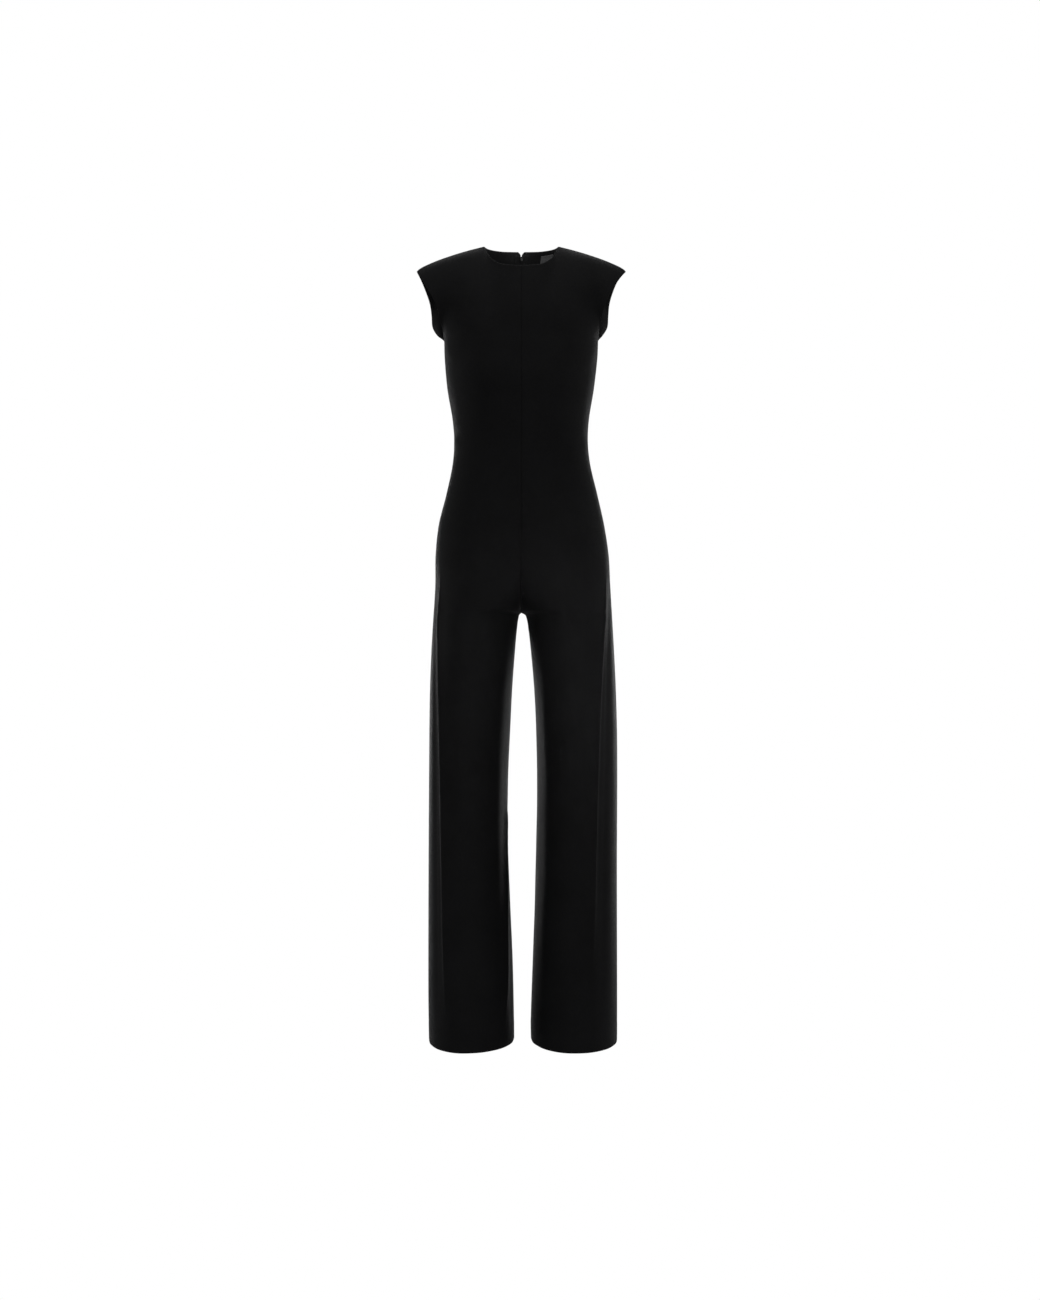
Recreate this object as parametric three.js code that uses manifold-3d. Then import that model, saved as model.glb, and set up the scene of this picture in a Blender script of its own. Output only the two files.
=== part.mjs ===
import * as THREE from "three";
import { mergeVertices } from "three/addons/utils/BufferGeometryUtils.js";
import Module from "manifold-3d";

// A sleeveless jumpsuit with wide legs, filled out as it is worn, in millimetres.
// +Z is up and the front faces -Y. Left and right are the wearer's, so the left side is at +X.
// The origin lies midway between the neck ends of the two shoulder seams.

// Driving sizes
const WALL = 2; // the cloth with its turned edges
const SEAM_GAP = 0.3; // between two pieces that are sewn together
const HALF_GAP = SEAM_GAP / 2;
const HEM_Z = -1475;
const UNDERARM_Z = -178;
const CROTCH_Z = -682;
const CROTCH_START_Z = -580; // the centre seams start to curve under the body here
const SPLIT_TOP_Z = -500; // one torso section above, two leg sections below
const SPLIT_END_Z = -720;
const SIDE_SEAM_Y = 0;
const INSEAM_Y = 8;
const ZIP_END_Z = -545;

// Torso and leg sections: half widths at the side seams, and depths of the front and back
const BODY = [
  { z: -178, right: 143, left: 142.5, front: 112, back: 88 },
  { z: -212, right: 142, left: 141, front: 119, back: 91 },
  { z: -268, right: 137, left: 134.5, front: 123, back: 89 },
  { z: -324, right: 127.5, left: 125.5, front: 109, back: 78 },
  { z: -366, right: 124.5, left: 123.5, front: 96, back: 69 },
  { z: -408, right: 127.5, left: 128, front: 91, back: 69 },
  { z: -463, right: 139, left: 141, front: 95, back: 83 },
  { z: -519, right: 153, left: 153.5, front: 101, back: 102 },
  { z: -575, right: 159, left: 162, front: 106, back: 114 },
  { z: -630, right: 159.5, left: 165, front: 108, back: 117 },
  { z: -714, right: 164, left: 169.5, front: 108, back: 113 },
  { z: -826, right: 168.5, left: 175, front: 106, back: 108 },
  { z: -937, right: 170, left: 177.5, front: 105, back: 105 },
  { z: -1160, right: 171.5, left: 177, front: 103, back: 102 },
  { z: -1384, right: 172, left: 177.5, front: 101, back: 99 },
  { z: HEM_Z, right: 171, left: 177.5, front: 101, back: 98 },
];

// Powers of the sections' superellipses: near the centre, and across and along near the side
const ROUNDNESS = {
  torso: { centre: 2.3, across: 2.2, along: 2.15 },
  leg: { centre: 2.1, across: 2.05, along: 2.05 },
};
const LEG_DEEPEST = { right: 0.57, left: 0.5 }; // where a leg is deepest, from its inner edge outwards
const CENTRE_CURVE = 2.4; // the higher, the later the centre seams curve in under the body

// Distance of each leg's inner edge from the middle plane
const INNER_LEG = [
  { z: CROTCH_Z, right: HALF_GAP, left: HALF_GAP },
  { z: -687, right: 4.2, left: 8 },
  { z: -714, right: 8.2, left: 13.5 },
  { z: -770, right: 13, left: 19.6 },
  { z: -826, right: 17, left: 24.2 },
  { z: -882, right: 19.8, left: 27 },
  { z: -993, right: 24.6, left: 29.4 },
  { z: -1105, right: 25, left: 28 },
  { z: -1216, right: 21, left: 25.4 },
  { z: -1328, right: 16, left: 21.3 },
  { z: -1440, right: 13.4, left: 17.6 },
  { z: HEM_Z, right: 13, left: 18 },
];

// Neck edge from the centre seam to the shoulder seam, for the front and the back
const NECK = {
  front: [
    { x: 0, y: -75, z: -55 },
    { x: 19, y: -73, z: -53.5 },
    { x: 36, y: -66, z: -50 },
    { x: 48, y: -55, z: -42 },
    { x: 57, y: -42, z: -32 },
    { x: 62, y: -30, z: -22 },
    { x: 70, y: 5, z: 0 },
  ],
  back: [
    { x: 0, y: 65, z: 5.2 },
    { x: 18, y: 63.5, z: 5 },
    { x: 34, y: 59, z: 4.3 },
    { x: 46, y: 51, z: 3.5 },
    { x: 57, y: 40, z: 2.6 },
    { x: 65, y: 25, z: 1.4 },
    { x: 70, y: 5, z: 0 },
  ],
};

// Shoulder seam from the neck to the tip
const SHOULDER = [
  { x: 70, y: 5, z: 0 },
  { x: 97, y: 6, z: -6.7 },
  { x: 131.5, y: 7, z: -17 },
  { x: 164.5, y: 8, z: -28.5 },
  { x: 188.5, y: 8, z: -40 },
  { x: 195.3, y: 8, z: -46 },
];

// Armhole edge from the shoulder tip to the underarm, with a column for each side's distance
const ARMHOLE = {
  front: [
    { right: 195.3, left: 195.3, y: 8, z: -46 },
    { right: 187, left: 184, y: -12, z: -62 },
    { right: 176, left: 172, y: -30, z: -82 },
    { right: 164, left: 160, y: -43, z: -104 },
    { right: 154, left: 151, y: -47, z: -126 },
    { right: 148, left: 146, y: -40, z: -147 },
    { right: 144.5, left: 143.5, y: -24, z: -166 },
    { right: 143, left: 142.5, y: 0, z: UNDERARM_Z },
  ],
  back: [
    { right: 195.3, left: 195.3, y: 8, z: -46 },
    { right: 188, left: 182, y: 16, z: -60 },
    { right: 180, left: 173, y: 32, z: -78 },
    { right: 173, left: 167, y: 46, z: -98 },
    { right: 170, left: 165, y: 54, z: -119 },
    { right: 168, left: 163, y: 53, z: -140 },
    { right: 158, left: 153, y: 36, z: -160 },
    { right: 146, left: 144.5, y: 14, z: -173 },
    { right: 143, left: 142.5, y: 0, z: UNDERARM_Z },
  ],
};

// How the cloth leaves the neck and shoulder edge: outwards (forward or back) and down
const START = {
  front: [
    { u: 0, out: 0.42, down: 1 },
    { u: 0.25, out: 0.6, down: 1 },
    { u: 0.5, out: 1, down: 0.6 },
    { u: 0.75, out: 1, down: 0.2 },
    { u: 1, out: 1, down: 0.45 },
  ],
  back: [
    { u: 0, out: 0.3, down: 1 },
    { u: 0.25, out: 0.5, down: 1 },
    { u: 0.5, out: 1, down: 0.6 },
    { u: 0.75, out: 1, down: 0.2 },
    { u: 1, out: 1, down: 0.45 },
  ],
};
const NECK_SHARE = 0.5; // share of a panel's top edge that is neck
const ARMHOLE_REACH = 4; // the higher, the nearer to its edge the armhole bends the cloth
const ARMHOLE_ENDS = 12; // a twelfth of the armhole at either end closes up to its seam's gap

// The centre back seam stands open at the neck, above the zip: half gaps at each level
const NOTCH = [
  { z: 6, half: 6.6 },
  { z: 4, half: 4.8 },
  { z: 1.5, half: 2 },
  { z: 0, half: 1.1 },
  { z: -8, half: 1 },
  { z: -14, half: HALF_GAP },
];

// Long soft folds of the legs. "from" is the seam they are measured from, and "top" and "foot" are
// the distances from it round the leg, plus to the front, at the fold's upper and lower ends. The
// higher "bend", the sooner the fold gets from one to the other
const FOLDS = [
  { side: "right", from: "side", top: 48, foot: 99, zTop: -600, zFoot: -1440, bend: 4, width: 13, height: 2.5 },
  { side: "right", from: "side", top: 27, foot: 78, zTop: -600, zFoot: -1475, bend: 4, width: 12, height: -2 },
  { side: "right", from: "side", top: -44, foot: -52, zTop: -640, zFoot: -1560, bend: 1, width: 34, height: 6 },
  { side: "left", from: "side", top: 36, foot: 113, zTop: -600, zFoot: -1340, bend: 5, width: 14, height: 2.5 },
  { side: "left", from: "side", top: 15, foot: 91, zTop: -600, zFoot: -1420, bend: 5, width: 14, height: -2.5 },
  { side: "left", from: "side", top: -44, foot: -50, zTop: -640, zFoot: -1560, bend: 1, width: 34, height: 4 },
  { side: "right", from: "inseam", top: 25, foot: 66, zTop: -1020, zFoot: -1440, bend: 1, width: 13, height: 2.5 },
  { side: "right", from: "inseam", top: 8, foot: 40, zTop: -1020, zFoot: -1475, bend: 1, width: 12, height: -2.5 },
  { side: "left", from: "inseam", top: -40, foot: -34, zTop: -860, zFoot: -1400, bend: 1, width: 16, height: 3 },
];
const FOLD_TOP_Z = Math.max(...FOLDS.map((fold) => fold.zTop));
const FOLD_FADE = { top: 0.12, foot: 0.8 }; // shares of a fold's run where it has its full height

// Rows and columns of a panel
const COLUMNS = 12;
const ROWS = { bodice: 8, torso: 11, crotch: 8, leg: 17 };
const SECTION_STEPS = 24; // points on each quarter of a section before it is divided evenly
const ROW_DIP = 12; // how far below the crotch the rows that end there leave the side seams
const ROW_BEND = { across: 1.5, inseam: 1.8, side: 1.3 }; // powers that space the rows of a leg
const NORMAL_STEP = 0.004; // share of a panel over which its slope is measured
const SIDE_SIGN = { left: 1, right: -1 };
const FACE_SIGN = { front: -1, back: 1 };

const clamp = (value, low, high) => Math.min(high, Math.max(low, value));
const mix = (a, b, t) => a + (b - a) * t;

function smoothstep(from, to, value) {
  const t = clamp((value - from) / (to - from), 0, 1);
  return t * t * (3 - 2 * t);
}

function hermite(p0, p1, m0, m1, t) {
  const s = 1 - t;
  return s * s * (1 + 2 * t) * p0 + t * t * (3 - 2 * t) * p1 + s * s * t * m0 - t * t * s * m1;
}

// A named column of a table at a value of its key, on a smooth curve through the rows
function lookUp(rows, key, name, at) {
  const rising = rows[1][key] > rows[0][key] ? 1 : -1;
  const last = rows.length - 1;
  if ((at - rows[0][key]) * rising <= 0) return rows[0][name];
  if ((at - rows[last][key]) * rising >= 0) return rows[last][name];
  const i = rows.findIndex((row) => (row[key] - at) * rising > 0) - 1;
  const slope = (k) => {
    const a = rows[Math.max(k - 1, 0)];
    const b = rows[Math.min(k + 1, last)];
    return (b[name] - a[name]) / (b[key] - a[key]);
  };
  const step = rows[i + 1][key] - rows[i][key];
  const t = (at - rows[i][key]) / step;
  return hermite(rows[i][name], rows[i + 1][name], slope(i) * step, slope(i + 1) * step, t);
}

const atLevel = (rows, name, z) => lookUp(rows, "z", name, z);

// Distances along a list of points
function runningLengths(points) {
  const lengths = [0];
  for (let i = 1; i < points.length; i++) {
    lengths.push(lengths[i - 1] + points[i].distanceTo(points[i - 1]));
  }
  return lengths;
}

// The point at a share of the length of a list of points
function pointAtShare(points, share) {
  const lengths = runningLengths(points);
  const target = share * lengths.at(-1);
  const beyond = lengths.findIndex((length) => length > target);
  const i = beyond < 0 ? points.length - 1 : beyond;
  const t = (target - lengths[i - 1]) / (lengths[i] - lengths[i - 1]);
  return points[i - 1].clone().lerp(points[i], t);
}

// Where a half section starts: the centre seam, its curve under the body, or the inseam
function startOfSection(panel, z) {
  const face = FACE_SIGN[panel.face];
  const inseam = INSEAM_Y + face * HALF_GAP;
  const flat = face * atLevel(BODY, panel.face, z);
  const sunk = clamp((CROTCH_START_Z - z) / (CROTCH_START_Z - CROTCH_Z), 0, 1);
  const y = inseam + (flat - inseam) * Math.sqrt(1 - sunk ** CENTRE_CURVE);
  const x = z > CROTCH_Z ? HALF_GAP : atLevel(INNER_LEG, panel.side, z);
  return { x, y, sunk };
}

// A quarter of a section from its deepest point to an end, on a superellipse
function quarter(deepest, end, powerX, powerY) {
  const points = [];
  for (let i = 0; i <= SECTION_STEPS; i++) {
    const angle = (i / SECTION_STEPS) * (Math.PI / 2);
    const across = Math.sin(angle) ** (2 / powerX);
    const along = Math.max(Math.cos(angle), 0) ** (2 / powerY);
    points.push(new THREE.Vector3(mix(deepest.x, end.x, across), mix(end.y, deepest.y, along), 0));
  }
  return points;
}

// Half a section at a level, from the centre seam or inseam round to the side seam
function halfSection(panel, z) {
  const face = FACE_SIGN[panel.face];
  const start = startOfSection(panel, z);
  const side = { x: atLevel(BODY, panel.side, z), y: SIDE_SEAM_Y + face * HALF_GAP };
  const split = smoothstep(SPLIT_TOP_Z, SPLIT_END_Z, z);
  const deepest = {
    x: mix(start.x, side.x, split * LEG_DEEPEST[panel.side]),
    y: face * atLevel(BODY, panel.face, z),
  };
  const power = (name) => mix(ROUNDNESS.torso[name], ROUNDNESS.leg[name], split);
  const inner = quarter(deepest, start, power("centre"), 1 + start.sunk ** 2).reverse();
  const outer = quarter(deepest, side, power("across"), power("along"));
  return [...inner, ...outer.slice(1)];
}

function sectionPoint(panel, u, z) {
  const point = pointAtShare(halfSection(panel, z), u);
  return new THREE.Vector3(point.x * SIDE_SIGN[panel.side], point.y, z);
}

// Tables of edge points as smooth curves with even steps
function edgeCurve(rows, sideName) {
  return new THREE.CatmullRomCurve3(
    rows.map((row) => new THREE.Vector3(sideName ? row[sideName] : row.x, row.y, row.z)),
    false,
    "centripetal",
  );
}

const CURVES = {
  neck: { front: edgeCurve(NECK.front), back: edgeCurve(NECK.back) },
  shoulder: edgeCurve(SHOULDER),
  armhole: {
    front: { left: edgeCurve(ARMHOLE.front, "left"), right: edgeCurve(ARMHOLE.front, "right") },
    back: { left: edgeCurve(ARMHOLE.back, "left"), right: edgeCurve(ARMHOLE.back, "right") },
  },
};

const NOTCH_REACH = 0.15; // share of the back's width that the open neck pushes aside

function openGap(panel, z) {
  return panel.face === "back" ? atLevel(NOTCH, "half", z) : HALF_GAP;
}

// The top edge of a panel: the neck from the centre seam, then the shoulder seam
function topEdge(panel, u) {
  const onNeck = u < NECK_SHARE;
  const curve = onNeck ? CURVES.neck[panel.face] : CURVES.shoulder;
  const share = onNeck ? u / NECK_SHARE : (u - NECK_SHARE) / (1 - NECK_SHARE);
  const point = curve.getPointAt(share);
  if (!onNeck) point.y += FACE_SIGN[panel.face] * HALF_GAP;
  point.x *= SIDE_SIGN[panel.side];
  return point;
}

// The bodice above the underarm: a curve down from the top edge at each share u of the width
function bodiceColumn(panel, u, t) {
  const top = topEdge(panel, u);
  const foot = sectionPoint(panel, u, UNDERARM_Z);
  const below = sectionPoint(panel, u, UNDERARM_Z - 1);
  const chord = top.distanceTo(foot);
  const table = START[panel.face];
  const start = new THREE.Vector3(
    0,
    FACE_SIGN[panel.face] * lookUp(table, "u", "out", u),
    -lookUp(table, "u", "down", u),
  ).setLength(chord);
  const end = below.sub(foot).setLength(chord);
  return new THREE.Vector3(
    hermite(top.x, foot.x, start.x, end.x, t),
    hermite(top.y, foot.y, start.y, end.y, t),
    hermite(top.z, foot.z, start.z, end.z, t),
  );
}

function armholePoint(panel, t) {
  const point = CURVES.armhole[panel.face][panel.side].getPointAt(t);
  const nearEnd = Math.max(0, 1 - Math.min(t, 1 - t) * ARMHOLE_ENDS);
  point.y += FACE_SIGN[panel.face] * HALF_GAP * nearEnd;
  point.x *= SIDE_SIGN[panel.side];
  return point;
}

function bodicePoint(panel, u, t) {
  const point = bodiceColumn(panel, u, t);
  const pull = armholePoint(panel, t).sub(bodiceColumn(panel, 1, t));
  point.addScaledVector(pull, u ** ARMHOLE_REACH);
  const spread = (openGap(panel, point.z) - HALF_GAP) * (1 - smoothstep(0, NOTCH_REACH, u));
  const seam = HALF_GAP * (1 - u) * (1 - t);
  point.x += SIDE_SIGN[panel.side] * (spread + seam);
  return point;
}

// Level of a point below the underarm. The rows dip towards the crotch, where its seams meet.
function levelAt(u, v) {
  if (v <= 2) return mix(UNDERARM_Z, CROTCH_START_Z, v - 1);
  const sideCrotchZ = CROTCH_Z - ROW_DIP;
  const share = 1 - (1 - u) ** ROW_BEND.across;
  if (v <= 3) {
    const inner = mix(CROTCH_START_Z, CROTCH_Z, Math.sin((v - 2) * (Math.PI / 2)));
    return mix(inner, mix(CROTCH_START_Z, sideCrotchZ, v - 2), share);
  }
  const inner = mix(CROTCH_Z, HEM_Z, (v - 3) ** ROW_BEND.inseam);
  return mix(inner, mix(sideCrotchZ, HEM_Z, (v - 3) ** ROW_BEND.side), share);
}

// A point of a panel's outer face without its folds: u runs from the centre to the side, and v from
// the top edge (0) over the underarm (1), the crotch curve (2 to 3) and down to the hem (4)
function plainPoint(panel, u, v) {
  if (v < 1) return bodicePoint(panel, u, v);
  return sectionPoint(panel, u, levelAt(u, v));
}

function outwardNormal(panel, u, v) {
  const h = NORMAL_STEP;
  const across = plainPoint(panel, Math.min(u + h, 1), v).sub(plainPoint(panel, Math.max(u - h, 0), v));
  const down = plainPoint(panel, u, Math.min(v + h, 4)).sub(plainPoint(panel, u, Math.max(v - h, 0)));
  const normal = across.cross(down).normalize();
  return normal.multiplyScalar(SIDE_SIGN[panel.side] * FACE_SIGN[panel.face]);
}

// Seams that close on a neighbour share its normal, so that the two walls lie side by side
function wallNormal(panel, u, v) {
  const normal = outwardNormal(panel, u, v);
  if (u === 0 && v < 2) normal.x = 0;
  if (v === 0 && u >= NECK_SHARE) normal.y = 0;
  if (u === 1 && v >= 1) normal.y = 0;
  if (u === 0 && v >= 3) normal.y = 0;
  return normal.normalize();
}

// Height of the long folds at a point of a leg
function foldHeight(panel, u, z) {
  if (z > FOLD_TOP_Z) return 0;
  const length = runningLengths(halfSection(panel, z)).at(-1);
  const towardsFront = -FACE_SIGN[panel.face];
  const fromSeam = { side: (1 - u) * length * towardsFront, inseam: u * length * towardsFront };
  let height = 0;
  for (const fold of FOLDS) {
    if (fold.side !== panel.side) continue;
    const t = (z - fold.zTop) / (fold.zFoot - fold.zTop);
    if (t <= 0 || t >= 1) continue;
    const place = mix(fold.top, fold.foot, 1 - (1 - t) ** fold.bend);
    const offset = fromSeam[fold.from] - place;
    const fade = smoothstep(0, FOLD_FADE.top, t) * smoothstep(1, FOLD_FADE.foot, t);
    height += fold.height * fade * Math.exp(-((offset / fold.width) ** 2));
  }
  return height;
}

// A point on a panel, moved out (plus) or in (minus) from its outer face
function clothPoint(panel, u, v, out) {
  const point = plainPoint(panel, u, v);
  const normal = wallNormal(panel, u, v);
  return point.addScaledVector(normal, out + foldHeight(panel, u, point.z));
}

// A closed body between two grids of points: an outer face, an inner face and four edges
function shellGeometry(outer, inner) {
  const rows = outer.length;
  const columns = outer[0].length;
  const flat = [...outer.flat(), ...inner.flat()];
  const at = (layer, i, j) => layer * rows * columns + i * columns + j;
  const index = [];
  const face = (a, b, c, d) => index.push(a, b, c, a, c, d);
  for (let i = 0; i < rows - 1; i++) {
    for (let j = 0; j < columns - 1; j++) {
      face(at(0, i, j), at(0, i + 1, j), at(0, i + 1, j + 1), at(0, i, j + 1));
      face(at(1, i, j), at(1, i, j + 1), at(1, i + 1, j + 1), at(1, i + 1, j));
    }
  }
  for (let i = 0; i < rows - 1; i++) {
    face(at(0, i, 0), at(1, i, 0), at(1, i + 1, 0), at(0, i + 1, 0));
    face(at(0, i, columns - 1), at(0, i + 1, columns - 1), at(1, i + 1, columns - 1), at(1, i, columns - 1));
  }
  for (let j = 0; j < columns - 1; j++) {
    face(at(0, 0, j), at(0, 0, j + 1), at(1, 0, j + 1), at(1, 0, j));
    face(at(0, rows - 1, j), at(1, rows - 1, j), at(1, rows - 1, j + 1), at(0, rows - 1, j + 1));
  }
  const geometry = new THREE.BufferGeometry();
  const positions = flat.flatMap((point) => [point.x, point.y, point.z]);
  geometry.setAttribute("position", new THREE.Float32BufferAttribute(positions, 3));
  geometry.setIndex(index);
  return geometry;
}

// Turns a geometry's faces round where a mirrored side has made them point inwards
function facingOut(geometry, flip) {
  if (!flip) return geometry;
  const index = geometry.index.array;
  for (let i = 0; i < index.length; i += 3) [index[i + 1], index[i + 2]] = [index[i + 2], index[i + 1]];
  return geometry;
}

function panelRows() {
  const rows = [0];
  Object.values(ROWS).forEach((count, section) => {
    for (let i = 1; i <= count; i++) rows.push(section + i / count);
  });
  return rows;
}

const mirrored = (panel) => SIDE_SIGN[panel.side] * FACE_SIGN[panel.face] > 0;

// The points of a panel's grid, moved out (plus) or in (minus) from its outer face
function panelGrid(panel, out) {
  const shares = Array.from({ length: COLUMNS + 1 }, (_, j) => j / COLUMNS);
  return panelRows().map((v) => shares.map((u) => clothPoint(panel, u, v, out)));
}

function panelGeometry(panel) {
  return facingOut(shellGeometry(panelGrid(panel, 0), panelGrid(panel, -WALL)), mirrored(panel));
}

function pointAtDistance(points, distance) {
  return pointAtShare(points, distance / runningLengths(points).at(-1));
}

// A grid on a panel's inside, laid "off" from it: distances across from the centre seam, and down
// from the top edge in rows of the panel's own grid
function insideGrid(panel, rows, distances, off) {
  const grid = panelGrid(panel, -WALL - off);
  return rows.map((row) => {
    const i = Math.floor(row);
    const next = grid[Math.min(i + 1, grid.length - 1)];
    const between = grid[i].map((point, j) => point.clone().lerp(next[j], row - i));
    return distances.map((distance) => pointAtDistance(between, distance));
  });
}

function insideStrip(panel, rows, distances, off, thickness) {
  const outer = insideGrid(panel, rows, distances, off);
  const inner = insideGrid(panel, rows, distances, off + thickness);
  return facingOut(shellGeometry(outer, inner), mirrored(panel));
}

// Concealed zip in the centre back seam: a tape inside each edge
const TAPE = { width: 12, thickness: 0.8, fromSeam: 0.4, top: 0.3 };

function tapeGeometry(side) {
  const panel = { face: "back", side };
  const levels = panelGrid(panel, 0).map((row) => row[0].z);
  const last = levels.findIndex((z) => z < ZIP_END_Z) - 1;
  const rows = [TAPE.top, ...Array.from({ length: last }, (_, i) => i + 1)];
  const distances = [TAPE.fromSeam, TAPE.fromSeam + TAPE.width];
  return insideStrip(panel, rows, distances, SEAM_GAP, TAPE.thickness);
}

// A blank woven label inside the neck, on the wearer's left of the zip
const LABEL = { fromSeam: 38, width: 31, top: 0.5, foot: 1.35, thickness: 0.6, off: 0.5 };

function labelGeometry() {
  const steps = [0, 1 / 3, 2 / 3, 1];
  const rows = steps.map((t) => mix(LABEL.top, LABEL.foot, t));
  const distances = steps.map((t) => LABEL.fromSeam + LABEL.width * t);
  return insideStrip({ face: "back", side: "left" }, rows, distances, LABEL.off, LABEL.thickness);
}

// The zip's slider and pull tab, in a frame on the cloth at the seam: +Y out of the cloth, +Z up it
const SLIDER_PLACE = { y: 67.3, z: -6, lean: 0.27 };
const SLIDER = {
  body: { x: 6, z: 8, depth: 2.6, inside: WALL + SEAM_GAP + TAPE.thickness + SEAM_GAP },
  neck: { x: 1.1, z: 3 },
  crown: { x: 3.2, z: 8, thickness: 1, off: 0.5 },
  bridge: { x: 1.2, bar: 1, hollow: 1.8, top: 0.8, foot: -2.8 },
};
const PULL = { thickness: 1, width: 4.6, neck: 3.9, waist: 2.8, eye: 4.9, arm: 0.95, bar: 0.8, length: 24 };
const PULL_TIP_STEPS = 10; // straight pieces in the pull tab's round end
const SINK = 0.5; // how far the slider's blocks run into each other
const PIVOT_Y = SLIDER.crown.off + SLIDER.crown.thickness + SLIDER.bridge.hollow / 2;

const wasm = await Module();
wasm.setup();

function toSolid(geometry) {
  const bare = geometry.index ? geometry.toNonIndexed() : geometry.clone();
  bare.deleteAttribute("normal");
  bare.deleteAttribute("uv");
  const merged = mergeVertices(bare);
  const vertProperties = merged.attributes.position.array;
  const triVerts = new Uint32Array(merged.index.array);
  return new wasm.Manifold(new wasm.Mesh({ numProp: 3, vertProperties, triVerts }));
}

function toGeometry(solid) {
  const mesh = solid.getMesh();
  const geometry = new THREE.BufferGeometry();
  geometry.setAttribute("position", new THREE.BufferAttribute(mesh.vertProperties, 3));
  geometry.setIndex(new THREE.BufferAttribute(mesh.triVerts, 1));
  return geometry;
}

// A box between two heights out of the cloth and two levels on it, centred across
function block(width, yLow, yHigh, zLow, zHigh) {
  const box = new THREE.BoxGeometry(width, yHigh - yLow, zHigh - zLow);
  return box.translate(0, (yLow + yHigh) / 2, (zLow + zHigh) / 2);
}

function sliderGeometry() {
  const { body, neck, crown, bridge } = SLIDER;
  const crownTop = crown.off + crown.thickness;
  const barFoot = crownTop + bridge.hollow;
  const high = bridge.top + bridge.bar;
  const low = bridge.foot - bridge.bar;
  const middle = (high + low) / 2;
  const blocks = [
    block(body.x, -body.inside - body.depth, -body.inside, middle - body.z / 2, middle + body.z / 2),
    block(neck.x, -body.inside - SINK, crown.off + SINK, high - neck.z, high),
    block(crown.x, crown.off, crownTop, middle - crown.z / 2, middle + crown.z / 2),
    block(bridge.x, crownTop - SINK, barFoot + bridge.bar, bridge.top, high),
    block(bridge.x, crownTop - SINK, barFoot + bridge.bar, low, bridge.foot),
    block(bridge.x, barFoot, barFoot + bridge.bar, low, high),
  ];
  return toGeometry(blocks.map(toSolid).reduce((all, one) => all.add(one)));
}

// The pull tab hangs from the bridge: a flat drop with an eye round it
function pullGeometry() {
  const half = PULL.width / 2;
  const neck = PULL.neck / 2;
  const waist = PULL.waist / 2;
  const outline = new THREE.Shape();
  outline.moveTo(-neck, PULL.bar / 2);
  outline.lineTo(neck, PULL.bar / 2);
  outline.lineTo(neck, -PULL.eye - PULL.bar);
  outline.lineTo(waist, -PULL.length / 2);
  outline.absarc(0, -PULL.length + half, half, 0, -Math.PI, true);
  outline.lineTo(-waist, -PULL.length / 2);
  outline.lineTo(-neck, -PULL.eye - PULL.bar);
  const eye = new THREE.Path();
  eye.moveTo(-PULL.arm, -PULL.bar / 2);
  eye.lineTo(-PULL.arm, -PULL.eye);
  eye.lineTo(PULL.arm, -PULL.eye);
  eye.lineTo(PULL.arm, -PULL.bar / 2);
  outline.holes.push(eye);
  const plate = new THREE.ExtrudeGeometry(outline, {
    depth: PULL.thickness,
    bevelEnabled: false,
    curveSegments: PULL_TIP_STEPS,
  });
  return plate.rotateX(Math.PI / 2).translate(0, PIVOT_Y + PULL.thickness / 2, 0);
}

const CLOTH = { color: 0x17171a, roughness: 0.85, metalness: 0 };
const TAPE_LOOK = { color: 0x101012, roughness: 0.8, metalness: 0 };
const LABEL_LOOK = { color: 0x77777a, roughness: 0.6, metalness: 0 };
const METAL = { color: 0x141416, roughness: 0.4, metalness: 0.7 };

function namedMesh(name, geometry, look) {
  const mesh = new THREE.Mesh(geometry, new THREE.MeshStandardMaterial(look));
  mesh.name = name;
  return mesh;
}

const jumpsuit = new THREE.Group();
jumpsuit.name = "jumpsuit";
for (const side of ["left", "right"]) {
  jumpsuit.add(namedMesh(`front_${side}`, panelGeometry({ face: "front", side }), CLOTH));
  jumpsuit.add(namedMesh(`back_${side}`, panelGeometry({ face: "back", side }), CLOTH));
  jumpsuit.add(namedMesh(`zip_tape_${side}`, tapeGeometry(side), TAPE_LOOK));
}
jumpsuit.add(namedMesh("neck_label", labelGeometry(), LABEL_LOOK));

const zipHead = new THREE.Group();
zipHead.position.set(0, SLIDER_PLACE.y, SLIDER_PLACE.z);
zipHead.rotation.x = SLIDER_PLACE.lean;
zipHead.add(namedMesh("zip_slider", sliderGeometry(), METAL));
zipHead.add(namedMesh("zip_pull", pullGeometry(), METAL));
jumpsuit.add(zipHead);

export default jumpsuit;
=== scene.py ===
"""The looks of a sleeveless jumpsuit with wide legs, filled out as it is worn.

The scene is in metres: +Z up, the front towards -Y, and the wearer's left at +X. The cloth's form
comes from the same tables as its solids, in millimetres, on a finer grid, and its creases,
pressed seams, turned edges and stitches are laid on that form.
"""

import math

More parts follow.
